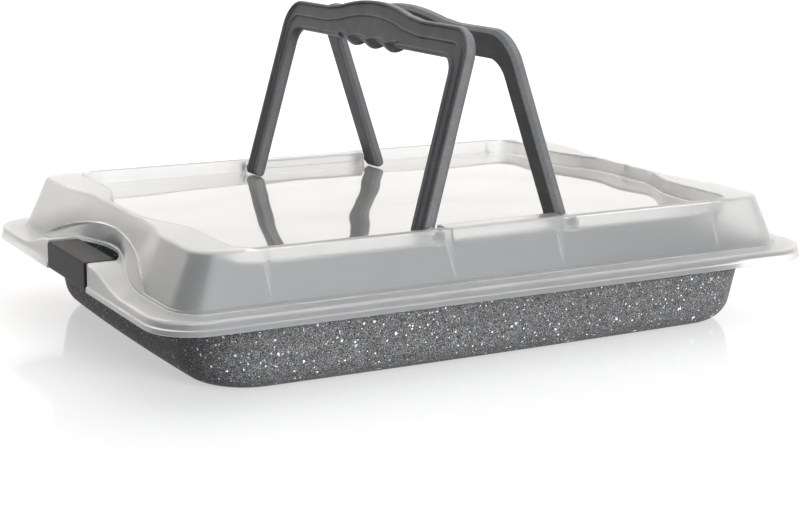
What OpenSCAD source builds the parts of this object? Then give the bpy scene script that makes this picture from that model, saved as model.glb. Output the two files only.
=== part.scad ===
// Oven cake pan with a clip-on plastic lid and two folding carrying handles.
// The long side runs along X, the pan's base lies on Z = 0, and sizes are in millimetres.

/* [Pan] */
// Half length of the pan's wall at its rim
pan_half_x = 186; // [150:1:230]
// Half width of the pan's wall at its rim
pan_half_y = 134; // [115:1:170]
// Height of the rim's top above the table
pan_height = 46.7; // [30:0.1:90]
// Thickness of the steel sheet
pan_wall = 0.9; // [0.6:0.1:2]
// Slope of the wall, in degrees from upright
pan_draft = 11.3; // [0:0.1:20]
// Corner radius of the wall at the rim, seen from above
pan_corner_r = 46; // [30:1:60]
// Radius of the bend between wall and base
pan_base_r = 17; // [6:0.5:20]
// How far the middle of each wall bows outward
pan_bow = 1.6; // [0:0.1:4]
// Width of the flat rim at the two ends
rim_end_w = 20.5; // [14:0.5:30]
// Width of the flat rim along the long sides
rim_side_w = 9.5; // [6:0.5:16]
// Depth of the rim's turned-down edge
rim_lip = 2; // [1.2:0.1:4]
// Radius of the bend between wall and rim
rim_bend_r = 3; // [1:0.1:5]

/* [Grip sleeves] */
// Half width of a sleeve, along the pan's short side
grip_half_y = 32.6; // [20:0.1:45]
// Depth of a sleeve, from its front towards the pan
grip_depth = 19; // [14:0.1:24]
// Height of a sleeve above the rim's top
grip_above = 10.3; // [6:0.1:14]
// Height of a sleeve below the rim's top
grip_below = 5.7; // [4:0.1:10]
// Radius of a sleeve's corners towards the pan, seen from above
grip_rear_r = 6; // [2:0.5:9]
// Radius of a sleeve's long edges
grip_edge_r = 1.5; // [0.5:0.1:2.5]
// Clearance between a sleeve and the steel that it covers
grip_fit = 0.1; // [0.05:0.05:0.4]

/* [Lid shell] */
// Wall thickness of the lid
lid_wall = 1.5; // [1:0.1:2.5]
// Gap between the pan's rim and the lid that sits on it
lid_seat_gap = 0.2; // [0.1:0.05:0.5]
// Gap between the edge of the pan's rim and the lid's skirt
skirt_gap = 2; // [1:0.1:4]
// Height of the skirt below the lid's shelf
skirt_h = 7.8; // [5:0.1:12]
// Height of the skirt's thicker lower lip
skirt_lip_h = 3.2; // [1.5:0.1:4.5]
// Width of the shelf at the two ends
shelf_end_w = 14; // [12:0.5:26]
// Width of the shelf along the long sides
shelf_side_w = 13.3; // [8:0.1:20]
// Height of the dome above the shelf
dome_h = 29.8; // [24:0.1:60]
// How far the dome's end walls lean inward over their height
dome_lean_x = 13; // [4:0.5:16]
// How far the dome's long walls lean inward over their height
dome_lean_y = 6.2; // [3:0.1:12]
// Corner radius of the dome at the shelf
dome_corner_r = 19; // [10:1:30]
// How far the ridge is drawn in at the middle of each end
waist = 6.5; // [0:0.5:9]

/* [Lid recess] */
// Depth of the recess that takes the folded handles
recess_depth = 8.7; // [8:0.1:14]
// Width of the ridge at the ends, beside the recess corners
ridge_end_w = 23.3; // [20:0.1:34]
// Width of the ridge along the long sides
ridge_side_w = 3.5; // [3.5:0.1:8]
// Corner radius of the recess
recess_corner_r = 12; // [9:0.5:16]
// How far the recess bulges outward at the middle of each end
recess_bulge = 13; // [11:0.5:15]
// Draft of the recess wall from its top to its floor
recess_draft = 1.2; // [0.6:0.1:2.5]
// How far the ridge widens inward between the handle feet
stop_w = 8.5; // [7.5:0.1:10]
// Gap between a leg and the ridge that stops it
stop_gap = 0.5; // [0.3:0.05:1]

/* [Lid ends] */
// Half width of the arched pocket in each end wall
arch_half_y = 85; // [60:1:95]
// Height of the arched pocket above the shelf
arch_h = 20.6; // [14:0.1:24]
// How far the pocket's foot goes into the end wall
pocket_in = 14.8; // [6:0.1:16]
// Gap around the sleeve in the lid's notch
notch_gap = 0.9; // [0.5:0.1:2]
// Where the raised shelf starts to fall, from the middle of the end
hump_in_y = 34; // [34:1:50]
// Where the raised shelf meets the plain shelf
hump_out_y = 82; // [60:1:95]

/* [Handles] */
// Distance of each hinge from the middle of the lid
pivot_x = 43.7; // [30:0.1:60]
// Height of the hinges above the recess floor
pivot_h = 4.3; // [4:0.1:7]
// Diameter of a hinge pin
pin_d = 5; // [3:0.1:5.4]
// Radial clearance of a hinge pin in its bore
pin_fit = 0.1; // [0.05:0.01:0.1]
// Depth of a hinge pin's seat in the lid
pin_len = 8.4; // [6.5:0.1:9]
// Outer diameter of a hinge boss
boss_d = 7.4; // [6.6:0.1:8]
// Gap between a leg and its boss
boss_gap = 1.4; // [0.3:0.1:2]
// Gap between the outer face of a leg's foot and the recess wall
leg_gap = 6.8; // [3:0.1:8]
// Thickness of a handle
handle_t = 6.8; // [5:0.1:7.6]
// Width of a leg
leg_w = 16; // [12:0.1:22]
// How far a leg runs inward over 100 mm of its length
leg_taper = 2.1; // [0:0.1:6]
// Height of the bar at its ends
bar_h = 18.4; // [12:0.1:22]
// Rise of the grip in the middle of the bar
grip_rise = 7; // [3:0.1:8]
// Outer corner radius of a handle
bail_outer_r = 18; // [12:0.5:24]
// Inner corner radius of a handle
bail_inner_r = 9; // [4:0.5:12]
// Gap between a folded handle and the end of the recess
fold_gap = 2.7; // [2.4:0.1:4]
// Width of the raised rim around a handle's outer face
bail_rim = 2; // [1.2:0.1:3]
// Depth of the channel in a handle's outer face
channel_d = 1.4; // [0.8:0.1:4]
// Width of the rib in the channel
rib_w = 1.6; // [1:0.1:2.5]
// Distance of the rib's middle from a handle's outer edge
rib_in = 6.6; // [5:0.1:9]
// Depth of the rib's top below the outer face
rib_drop = 0.5; // [0.2:0.1:3]
// Width of one finger lobe
lobe_w = 23.6; // [18:0.1:24]
// Depth of the finger lobes
lobe_d = 2.6; // [1:0.1:3]
// How far the left handle's inner face stops short of the middle at its top
left_short = 8.6; // [2:0.1:20]
// How far the right handle's inner face stops short of the middle at its top
right_short = 1; // [0:0.1:20]

/* [Lid webs] */
// Distance of the outer webs in the lid's hollow ridge from the middle
web_outer_x = 144.5; // [110:0.5:150]
// Distance of the inner webs in the lid's hollow ridge from the middle
web_inner_x = 35.5; // [25:0.5:36]
// Thickness of a web
web_t = 1.4; // [1:0.1:2]
// Height of a web
web_h = 25; // [12:0.5:26]

/* [Colours] */
// Colour of the pan
pan_colour = "#4b4c4e";
// Colour of the silicone sleeves
grip_colour = "#3d3e40";
// Colour of the lid
lid_colour = "#e4e5e6";
// Colour of the handles
handle_colour = "#5b5d60";

/* [Hidden] */
$fn = 72;

// Heights of the lid, from the pan's rim upward
shelf_under = pan_height + lid_seat_gap;
shelf_top = shelf_under + lid_wall;
skirt_bottom = shelf_top - skirt_h;
ridge_top = shelf_top + dome_h;
floor_top = ridge_top - recess_depth;
pivot_z = floor_top + pivot_h;
grip_top = pan_height + grip_above;
hump_h = grip_top - shelf_top;

// Plan sizes of the lid, from the pan's rim inward
rim_r_less = 4.5;
rim_x = pan_half_x + rim_end_w;
rim_y = pan_half_y + rim_side_w;
rim_r = pan_corner_r - (rim_end_w + rim_side_w) / 2 - rim_r_less;
lid_x = rim_x + skirt_gap + lid_wall;
lid_y = rim_y + skirt_gap + lid_wall;
lid_r = rim_r + 1.5;
dome_x = lid_x - shelf_end_w;
dome_y = lid_y - shelf_side_w;
ridge_x = dome_x - dome_lean_x;
ridge_y = dome_y - dome_lean_y;
recess_x = ridge_x - ridge_end_w;
recess_y = ridge_y - ridge_side_w;

// Sizes of the handles, from the recess that takes them
leg_y = recess_y - leg_gap;
bail_l = recess_x - fold_gap - pivot_x;
bar_l = bail_l - bar_h;
lobes_y = 1.5 * lobe_w;

// Steps along the lid's rings: half an end, and a corner; the end's steps stop short of the corner
n_half = 16;
n_corner = 6;
end_rest = 12;
end_span = recess_y - recess_corner_r - end_rest;

// How far the two handles lean inward, in degrees from upright
top_l = bail_l + grip_rise;
function lean(short) =
    asin((pivot_x - short) / norm([top_l, handle_t / 2])) - atan(handle_t / 2 / top_l);
lean_left = lean(left_short);
lean_right = lean(right_short);

// Where the stop between the handle feet ends
stop_x = pivot_x - (handle_t / 2) / cos(lean_right) - (ridge_top - pivot_z) * tan(lean_right) - stop_gap;

function smooth(t) = t <= 0 ? 0 : t >= 1 ? 1 : t * t * (3 - 2 * t);
function flip(list) = [for (i = [len(list) - 1:-1:0]) list[i]];
function arc(r, n) = [for (k = [0:n]) [r * cos(90 * k / n), r * sin(90 * k / n)]];

// One closed ring of the lid: half sizes a and b, corner radius r, height z.
// dx and dz move its ends inward and upward along Y.
function ring(a, b, r, z, dx = function (y) 0, dz = function (y) 0) =
    let (
        ys = [for (i = [-n_half:n_half]) end_span * i / n_half],
        c = arc(r, n_corner)
    )
    concat(
        [for (y = ys) [a - dx(y), y, z + dz(y)]],
        [for (p = c) [a - r + p[0], b - r + p[1], z]],
        [for (p = flip(c)) [r - a - p[0], b - r + p[1], z]],
        [for (y = flip(ys)) [dx(y) - a, y, z + dz(y)]],
        [for (p = c) [r - a - p[0], r - b - p[1], z]],
        [for (p = flip(c)) [a - r + p[0], r - b - p[1], z]]
    );

// Flat cap of a lid ring whose first point has the number s: rows of quads from side to side
function cap(s) =
    let (
        rows = 2 * n_half + 2 * n_corner + 3,
        n = 2 * rows,
        right = [for (i = [0:rows - 1]) (n - n_corner - 1 + i) % n],
        left = [for (j = right) (2 * n - 1 - 2 * n_corner - 2 - j) % n]
    )
    [for (i = [0:rows - 2]) [s + left[i], s + left[i + 1], s + right[i + 1], s + right[i]]];

// A closed skin through a list of rings, with the faces that close its first and last ring
module skin(rings, first, last) {
    n = len(rings[0]);
    m = len(rings);
    sides = [for (i = [0:m - 2]) for (j = [0:n - 1]) let (k = (j + 1) % n)
        each [[i * n + j, i * n + k, (i + 1) * n + k], [i * n + j, (i + 1) * n + k, (i + 1) * n + j]]];
    polyhedron(points = [for (r = rings) each r], faces = concat(first, sides, last));
}

// Pan

// One closed ring of the pan: half sizes a and b, corner radius r, height z, outward bow
function pan_loop(a, b, r, z, bow) =
    let (
        steps = [-0.8, -0.6, -0.4, -0.2, 0, 0.2, 0.4, 0.6, 0.8],
        side = [for (f = steps) [f, bow * (1 - f * f)]],
        c = arc(r, 10)
    )
    concat(
        [for (f = side) [a + f[1], (b - r) * f[0], z]],
        [for (p = c) [a - r + p[0], b - r + p[1], z]],
        [for (f = flip(side)) [(a - r) * f[0], b + f[1], z]],
        [for (p = flip(c)) [r - a - p[0], b - r + p[1], z]],
        [for (f = flip(side)) [-a - f[1], (b - r) * f[0], z]],
        [for (p = c) [r - a - p[0], r - b - p[1], z]],
        [for (f = side) [(a - r) * f[0], -b - f[1], z]],
        [for (p = flip(c)) [a - r + p[0], r - b - p[1], z]]
    );
function pan_ring(inset, z) =
    pan_loop(pan_half_x - inset, pan_half_y - inset, pan_corner_r - inset, z, pan_bow);
function rim_ring(inset, z) =
    pan_loop(rim_x - inset, rim_y - inset, rim_r - inset, z, 0);

// Inset of the wall's outer skin at the height z, and the centres of the two bends
function wall_in(z) = tan(pan_draft) * (pan_height - z);
base_c = wall_in(pan_base_r * (1 - sin(pan_draft))) + pan_base_r * cos(pan_draft);
bend_z = pan_height - rim_bend_r - pan_wall;
bend_c = wall_in(bend_z + rim_bend_r * sin(pan_draft)) - rim_bend_r * cos(pan_draft);

// Rings of the lower and the upper bend, t into the pan from the sheet's outer skin
function base_bend(t) =
    let (r = pan_base_r - t)
    [for (a = [0, 20, 40, 60, 90 - pan_draft]) pan_ring(base_c - r * sin(a), pan_base_r - r * cos(a))];
function rim_bend(t) =
    let (r = rim_bend_r + t)
    [for (a = [pan_draft, 35, 60, 90]) pan_ring(bend_c + r * cos(a), bend_z + r * sin(a))];

module pan() {
    top = pan_height;
    low = top - rim_lip;
    w = pan_wall;
    rings = concat(
        base_bend(w),
        rim_bend(w),
        [rim_ring(1.1, top), rim_ring(0.3, top - 0.35), rim_ring(0, top - 1.1), rim_ring(0, low)],
        [rim_ring(w, low), rim_ring(w, top - w - 0.4), rim_ring(w + 0.4, top - w)],
        flip(rim_bend(0)),
        flip(base_bend(0))
    );
    n = len(rings[0]);
    end = n * (len(rings) - 1);
    color(pan_colour) skin(rings, [[for (j = [n - 1:-1:0]) j]], [[for (j = [0:n - 1]) end + j]]);
}

// Grip sleeves

// Extrudes an outline drawn in Y and Z along X, from x0 to x1
module slab(x0, x1) {
    translate([x0, 0, 0]) rotate([90, 0, 90]) linear_extrude(x1 - x0) children();
}

module round_rect(x0, x1, y0, y1, r) {
    translate([x0 + r, y0]) square([x1 - x0 - 2 * r, y1 - y0]);
    translate([x0, y0 + r]) square([x1 - x0, y1 - y0 - 2 * r]);
    for (x = [x0 + r, x1 - r]) for (y = [y0 + r, y1 - r]) translate([x, y]) circle(r);
}

// Sleeve on the rim's end at +X: its outlines from above, the front and the side meet in one block
module sleeve() {
    front = lid_x;
    back = front - grip_depth;
    low = pan_height - grip_below;
    high = grip_top - low;
    half = grip_half_y;
    over = 20;
    difference() {
        intersection() {
            translate([0, 0, low]) linear_extrude(high)
                round_rect(back, front + over, -half, half, grip_rear_r);
            translate([0, 0, low]) linear_extrude(high)
                round_rect(back - over, front, -half, half, grip_edge_r);
            slab(back, front) round_rect(-half, half, low, grip_top, 2 * grip_edge_r);
            translate([0, half, 0]) rotate([90, 0, 0]) linear_extrude(2 * half)
                round_rect(back, front, low, grip_top, grip_edge_r);
        }
        // slot for the rim, and a deeper groove for the rim's lip
        rim_slot(back - 1, pan_wall);
        rim_slot(rim_x - pan_wall - 0.5 - grip_fit, rim_lip);
    }
}

// Slot from x outward to the rim's edge, for steel that reaches t below the rim's top
module rim_slot(x, t) {
    translate([x, -grip_half_y - 1, pan_height - t - grip_fit])
        cube([rim_x + grip_fit - x, 2 * grip_half_y + 2, t + 2 * grip_fit]);
}

module grip_right() {
    color(grip_colour) sleeve();
}

module grip_left() {
    color(grip_colour) mirror([1, 0, 0]) sleeve();
}

// Lid

// Height z as a part of the dome's height
function up(z) = (z - shelf_top) / dome_h;

// Half the length of the ends' drawn-in middle, and of the bend beside it
waist_half = 45;
waist_ease = 35;

// Outer face of the dome at height z, t inside it; its ends are drawn in at the middle
function dome_in(y, z) = waist * (1 - smooth((abs(y) - waist_half) / waist_ease)) * up(z);
function dome_loop(z, t, h, dx, dz = function (y) 0) =
    let (
        x = dome_x - dome_lean_x * up(z) - t,
        y = dome_y - dome_lean_y * up(z) - t
    )
    ring(x, y, dome_corner_r - 3 * up(z) - t, h, dx, dz);
function dome_ring(z, t) = dome_loop(z, t, z, function (y) dome_in(y, z));
// Outer edge of the ridge, drawn in by t at the height z
function ridge_ring(z, t) = dome_loop(ridge_top, t, z, function (y) dome_in(y, ridge_top));

// Shelf and skirt, drawn in by t; the shelf rises beside each sleeve
function hump(y) = hump_h * (1 - smooth((abs(y) - hump_in_y) / (hump_out_y - hump_in_y)));
function shelf_ring(t, z, rise) =
    ring(lid_x - t, lid_y - t, lid_r - t, z, function (y) 0, function (y) rise * hump(y));

// Foot of the end wall, where the arched pocket goes in over a part of the arch's half width
pocket_part = 0.68;
function pocket(y) = pocket_in * (1 - smooth(abs(y) / (arch_half_y * pocket_part)));
function foot_ring(t, z) =
    ring(dome_x - t, dome_y - t, dome_corner_r - t, z, function (y) pocket(y), function (y) hump(y));

// Upper edge of the pocket: an arch that starts at the height foot_top on the end wall
foot_top = shelf_top + 2;
function arch_z(y) = foot_top + (shelf_top + arch_h - foot_top) * max(0, 1 - pow(y / arch_half_y, 2));
function arch_ring(t, drop) =
    dome_loop(foot_top, t, foot_top - drop,
        function (y) dome_lean_x * (up(arch_z(y)) - up(foot_top)) + dome_in(y, arch_z(y)),
        function (y) arch_z(y) - foot_top);

// Recess wall, drawn in by t: its ends bulge to take the arched bar of the folded handle.
// Half the length of the bulge's full part, and of the bend beside it.
bulge_half = 20;
bulge_ease = 48;
function bulge(y) = recess_bulge * (1 - smooth((abs(y) - bulge_half) / bulge_ease));
function recess_ring(t, z) =
    ring(recess_x - t, recess_y - t, recess_corner_r - 0.8 * t, z, function (y) -bulge(y));

module lid_shell() {
    w = lid_wall;
    lip_top = skirt_bottom + skirt_lip_h;
    ridge_under = ridge_top - w - 0.2;
    rings = [
        // recess floor and wall, seen from above
        recess_ring(recess_draft + 1.6, floor_top),
        recess_ring(recess_draft + 0.5, floor_top + 0.4),
        recess_ring(recess_draft, floor_top + 1.3),
        recess_ring(0, ridge_top - 1),
        recess_ring(-0.3, ridge_top - 0.3),
        recess_ring(-1, ridge_top),
        // ridge and outside of the dome
        ridge_ring(ridge_top, 1.2),
        ridge_ring(ridge_top - 0.35, 0.4),
        dome_ring(ridge_top - 1.2, 0),
        arch_ring(0, 0),
        foot_ring(0, shelf_top + 0.9),
        foot_ring(-0.9, shelf_top),
        // shelf and skirt
        shelf_ring(2, shelf_top, 1),
        shelf_ring(1.3, shelf_top - 0.4, 1),
        shelf_ring(1, shelf_top - 1.2, 1),
        shelf_ring(0.8, lip_top + 0.5, 0),
        shelf_ring(0, lip_top - 0.3, 0),
        shelf_ring(0, skirt_bottom + 0.5, 0),
        shelf_ring(0.4, skirt_bottom, 0),
        // inside of the skirt, shelf and dome
        shelf_ring(w, skirt_bottom, 0),
        shelf_ring(w + 0.2, lip_top, 0),
        shelf_ring(w + 1, shelf_under - 1, 1),
        shelf_ring(w + 2, shelf_under, 1),
        foot_ring(w * 1.05, shelf_under),
        arch_ring(w * 1.05, 0.4),
        dome_ring(ridge_under, w * 1.03),
        // under side of the ridge, recess wall and floor
        recess_ring(-w, ridge_under),
        recess_ring(recess_draft - w, floor_top + 0.8),
        recess_ring(recess_draft - w + 0.6, floor_top - w * 0.6),
        recess_ring(recess_draft + 0.9, floor_top - w)
    ];
    end = len(rings[0]) * (len(rings) - 1);
    skin(rings, cap(0), [for (f = cap(end)) flip(f)]);
}

// Widened ridge between the handle feet at +Y, with a ledge in its face: it stops the legs
module stop() {
    face = recess_y - stop_w;
    foot = floor_top - 0.2;
    ledge_h = 3.5;
    ledge_w = 0.8;
    translate([-stop_x, face, foot]) cube([2 * stop_x, stop_w + 1, ridge_top - foot]);
    translate([-stop_x, face - ledge_w, foot]) cube([2 * stop_x, 2, ledge_h]);
}

module stop_hollow() {
    w = lid_wall;
    foot = floor_top - w - 1;
    translate([w - stop_x, recess_y - stop_w + w, foot])
        cube([2 * (stop_x - w), stop_w - w + 1.8, ridge_top - w - foot]);
}

// Notch that lets the sleeve at +X stand in the raised shelf
module notch() {
    half = grip_half_y + notch_gap;
    sag = 10;
    r = (half * half + sag * sag) / (2 * sag);
    rear = dome_x - pocket_in + 1.2;
    side = rear + sag;
    translate([0, 0, skirt_bottom - 1]) linear_extrude(grip_top - skirt_bottom + 2) {
        translate([side, -half]) square([lid_x - side + 5, 2 * half]);
        intersection() {
            translate([rear + r, 0]) circle(r);
            translate([rear - 1, -half]) square([sag + 2, 2 * half]);
        }
    }
}

// Hinge boss at +X +Y, on a foot that joins it to the recess floor, and its bore
module boss() {
    long = ridge_y - leg_y - boss_gap + 0.6;
    foot_w = 0.7 * boss_d;
    translate([pivot_x, leg_y + boss_gap, pivot_z]) {
        rotate([-90, 0, 0]) cylinder(d = boss_d, h = long);
        translate([-foot_w / 2, 0, -pivot_h - 0.5]) cube([foot_w, long, pivot_h + 0.5]);
    }
}

module bore() {
    translate([pivot_x, leg_y, pivot_z]) rotate([-90, 0, 0])
        cylinder(d = pin_d + 2 * pin_fit, h = pin_len + 0.4);
}

// Upright web in the hollow ridge at +Y: joins the recess wall to the dome's long wall
module web(x) {
    half = lid_wall / 2;
    foot = ridge_top - lid_wall - web_h;
    outer = ridge_y - half;
    inner = recess_y + half;
    foot_y = outer + (ridge_top - foot) * dome_lean_y / dome_h;
    slab(x - web_t / 2, x + web_t / 2) polygon([
        [inner, ridge_top - half],
        [outer, ridge_top - half],
        [foot_y, foot],
        [foot_y - 0.8, foot],
        [inner - 2 * recess_draft, floor_top - half],
        [inner - recess_draft, floor_top + 2]
    ]);
}

// Upright web in the hollow ridge at the middle of the end at +X
module end_web() {
    half = lid_wall / 2;
    inner = recess_x + recess_bulge + half;
    outer = ridge_x - waist - half;
    arch = shelf_top + arch_h;
    translate([0, web_t / 2, 0]) rotate([90, 0, 0]) linear_extrude(web_t) polygon([
        [inner, ridge_top - half],
        [outer, ridge_top - half],
        [outer + (ridge_top - arch) * (dome_lean_x + waist) / dome_h, arch],
        [inner - 2 * recess_draft, floor_top - half],
        [inner - recess_draft, floor_top + 2]
    ]);
}

module lid() {
    color(lid_colour)
    difference() {
        union() {
            difference() {
                union() {
                    lid_shell();
                    for (my = [0, 1]) mirror([0, my, 0]) stop();
                }
                for (my = [0, 1]) mirror([0, my, 0]) stop_hollow();
            }
            for (mx = [0, 1]) mirror([mx, 0, 0]) end_web();
            for (mx = [0, 1]) for (my = [0, 1]) mirror([mx, 0, 0]) mirror([0, my, 0]) {
                boss();
                web(web_outer_x);
                web(web_inner_x);
            }
        }
        for (mx = [0, 1]) mirror([mx, 0, 0]) {
            notch();
            for (my = [0, 1]) mirror([0, my, 0]) bore();
        }
    }
}

// Handles

// All outlines are drawn upright: Y across the handle, and the height over the hinge axis
taper = leg_taper / 100;
taper_a = atan(taper);

// Rise of the bar's top above its ends: an arch that runs out in a soft curve.
// The curve starts at arch_end of the arch's half length and takes arch_ease of it.
arch_half = 49;
arch_end = 0.88;
arch_ease = 0.34;
function rise(y) =
    let (f = abs(y) / arch_half)
    f <= arch_end
        ? grip_rise * (1 - f * f)
        : grip_rise * (1 - arch_end * arch_end) * (1 - smooth((f - arch_end) / arch_ease));

// Right leg from its foot up to a rounded corner of radius r: its outer side starts at y
function leg_and_corner(y, top, r, n) =
    let (
        cz = top - r,
        cy = y - taper * cz - r / cos(taper_a)
    )
    concat(
        [for (h = [0:20:cz - 4]) [y - taper * h, h]],
        [for (k = [0:n]) let (a = taper_a + (90 - taper_a) * k / n) [cy + r * cos(a), cz + r * sin(a)]]
    );

// Right half of the outer edge, from the foot to the middle of the grip
function outer_half() =
    concat(
        leg_and_corner(leg_y, bail_l, bail_outer_r, 8),
        [for (f = [1.2:-0.06:0.01]) [arch_half * f, bail_l + rise(arch_half * f)]],
        [[0, bail_l + grip_rise]]
    );

// Place of y across its finger lobe, from -1 to 1, and the lobe's depth there below the bar's ends
cusp_d = 0.8;
function across(y) = let (u = abs(y) / lobe_w + 0.5) 2 * (u - floor(u)) - 1;
function lobe(y) = cusp_d + lobe_d * (1 - pow(across(y), 2));

// Right half of the inner edge, with the finger lobes
function inner_half() =
    concat(
        leg_and_corner(leg_y - leg_w, bar_l, bail_inner_r, 6),
        [[lobes_y + 8, bar_l], [lobes_y + 1.5, bar_l]],
        [for (f = [0.999:-1 / 24:0.01]) [lobes_y * f, bar_l - lobe(lobes_y * f)]],
        [[0, bar_l - lobe(0)]]
    );

function both(half) = concat(half, [for (i = [len(half) - 2:-1:0]) [-half[i][0], half[i][1]]]);

// A curve moved by d to its left
function moved(p, d) =
    [for (i = [0:len(p) - 1]) let (
            a = p[max(i - 1, 0)],
            b = p[min(i + 1, len(p) - 1)],
            t = (b - a) / norm(b - a)
        ) [p[i][0] - t[1] * d, p[i][1] + t[0] * d]];

// The band between the outer edge moved inward by d, and another curve
module band(d, inner) {
    polygon(concat(moved(both(outer_half()), d), flip(inner)));
}

// Outline of the handle, drawn in by d all round
module bail(d) {
    band(d, moved(both(inner_half()), -d));
}

// Channel in the outer face: its lower edge is arched above each finger scoop
channel_up = 3.5;
channel_arch = 1.8;
function arches(y) = bar_l + channel_up - channel_arch * pow(1 - abs(across(y)), 2);
foot_h = 1.5;
module channel() {
    difference() {
        bail(bail_rim);
        translate([-leg_y, foot_h - 5]) square([2 * leg_y, 5]);
        polygon(concat(
            [[lobes_y, bar_l - 5]],
            [for (f = [0.999:-1 / 18:-1]) [lobes_y * f, arches(lobes_y * f)]],
            [[-lobes_y, bar_l - 5]]
        ));
    }
}

// Rib along the channel
module rib() {
    difference() {
        band(rib_in - rib_w / 2, moved(both(outer_half()), rib_in + rib_w / 2));
        translate([-leg_y, -5]) square([2 * leg_y, 5 + foot_h - 0.5]);
    }
}

// Round cuts between the finger lobes and at their ends: they run down from the outer face
module scoops() {
    r = 44;
    slope = 31.7;
    scoop_up = 2.6;
    reach = r / cos(slope);
    intersection() {
        slab(-handle_t, handle_t) translate([-lobes_y, bar_l - 10]) square([2 * lobes_y, 20]);
        for (s = [-1.5:1.5]) translate([-handle_t / 2, s * lobe_w, bar_l + scoop_up - reach])
            rotate([0, 90 + slope, 0]) cylinder(r = r, h = 6 * handle_t, center = true, $fn = 144);
    }
}

// Handle standing upright over its hinge axis, with its outer face towards -X
module handle_upright() {
    half = handle_t / 2;
    seam = half - 2.2;
    difference() {
        union() {
            slab(-half, seam) bail(0);
            slab(seam - 0.01, half) bail(0.5);
            for (s = [0, 1]) mirror([0, s, 0]) translate([0, leg_y - leg_w, 0])
                rotate([-90, 0, 0]) cylinder(r = half, h = leg_w);
        }
        slab(-half - 1, channel_d - half) channel();
        scoops();
    }
    slab(rib_drop - half, channel_d - half + 0.2) rib();
    for (s = [0, 1]) mirror([0, s, 0]) translate([0, leg_y - 1, 0])
        rotate([-90, 0, 0]) cylinder(d = pin_d, h = pin_len + 1);
}

// Handle in its place at -X, leaning inward by a
module handle(a) {
    translate([-pivot_x, 0, pivot_z]) rotate([0, a, 0]) handle_upright();
}

module handle_left() {
    color(handle_colour) handle(lean_left);
}

module handle_right() {
    color(handle_colour) mirror([1, 0, 0]) handle(lean_right);
}

pan();
grip_left();
grip_right();
lid();
handle_left();
handle_right();
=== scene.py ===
"""Cake pan with a carrier lid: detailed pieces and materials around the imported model."""
import math

import bmesh
import bpy
import numpy as np
from mathutils import Matrix, Vector


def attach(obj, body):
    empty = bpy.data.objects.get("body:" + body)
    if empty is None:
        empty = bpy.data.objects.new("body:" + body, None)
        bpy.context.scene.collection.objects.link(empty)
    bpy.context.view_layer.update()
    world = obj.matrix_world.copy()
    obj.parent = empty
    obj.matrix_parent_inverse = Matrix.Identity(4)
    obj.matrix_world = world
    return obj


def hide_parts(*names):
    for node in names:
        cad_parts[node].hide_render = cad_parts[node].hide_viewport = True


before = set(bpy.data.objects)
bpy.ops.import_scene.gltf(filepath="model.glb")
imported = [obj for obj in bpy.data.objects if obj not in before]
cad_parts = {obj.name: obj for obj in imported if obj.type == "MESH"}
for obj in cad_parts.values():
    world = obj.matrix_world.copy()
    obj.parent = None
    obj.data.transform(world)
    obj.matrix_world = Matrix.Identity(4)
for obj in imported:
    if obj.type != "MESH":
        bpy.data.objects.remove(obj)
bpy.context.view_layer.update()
scene = bpy.context.scene
MM = 0.001

# Sizes in millimetres, the same as in the part's source

# Pan
PAN_X = 186
PAN_Y = 134
PAN_H = 46.7
PAN_WALL = 0.9
PAN_DRAFT = math.radians(11.3)
PAN_CORNER = 46
PAN_BASE_R = 17
PAN_BOW = 1.6
RIM_X = 206.5
RIM_Y = 143.5
RIM_R = 26.5
RIM_LIP = 2
RIM_BEND = 3

# Grip sleeves
GRIP_HALF = 32.6
GRIP_DEPTH = 19
GRIP_TOP = 57
GRIP_LOW = 41
GRIP_FIT = 0.1

# Lid
LID_X = 210
LID_Y = 147
LID_R = 28
LID_WALL = 1.5
SHELF_UNDER = 46.9
SHELF_TOP = 48.4
SKIRT_BOTTOM = 40.6
SKIRT_LIP = 3.2
DOME_X = 196
DOME_Y = 133.7
DOME_H = 29.8
DOME_LEAN_X = 13
DOME_LEAN_Y = 6.2
DOME_R = 19
WAIST = 6.5
RIDGE_TOP = 78.2
FLOOR_TOP = 69.5
RIDGE_X = 183
RIDGE_Y = 127.5
RECESS_X = 159.7
RECESS_Y = 124
RECESS_R = 12
RECESS_BULGE = 13
RECESS_DRAFT = 1.2
STOP_W = 8.5
STOP_X = 38.1
ARCH_Y = 85
ARCH_H = 20.6
POCKET = 14.8
HUMP_H = 8.6
HUMP_IN = 34
HUMP_OUT = 82
NOTCH_GAP = 0.9
WEB_OUTER = 144.5
WEB_INNER = 35.5
WEB_T = 1.4
WEB_H = 25

# Hinges
PIVOT_X = 43.7
PIVOT_Z = 73.8
PIVOT_H = 4.3
PIN_R = 2.5
PIN_LEN = 8.4
PIN_PLAY = 0.1
BOSS_D = 7.4
BOSS_GAP = 1.4

# Handles
LEG_Y = 117.2
LEG_W = 16
TAPER = 0.021
BAIL_L = 113.3
BAR_L = 94.9
GRIP_RISE = 7
BAIL_R = 18
BAIL_INNER_R = 9
ARCH_HALF = 49
ARCH_END = 0.88
HALF_T = 3.4
LOBE_W = 23.6
LOBE_D = 2.6
LOBES_Y = 1.5 * LOBE_W
LEAN_LEFT = math.radians(15.34)
LEAN_RIGHT = math.radians(19.16)

FLIP_X = np.array([-1, 1, 1])
FLIP_Y = np.array([1, -1, 1])
CIRCLE_STEPS = 40


def smooth(t):
    t = np.clip(t, 0, 1)
    return t * t * (3 - 2 * t)


def fade(y, start, width):
    """1 around the middle, falling to 0 over the width from the start outward."""
    return 1 - smooth((np.abs(y) - start) / width)


# Meshes: a part is its points in millimetres and its faces

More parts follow.
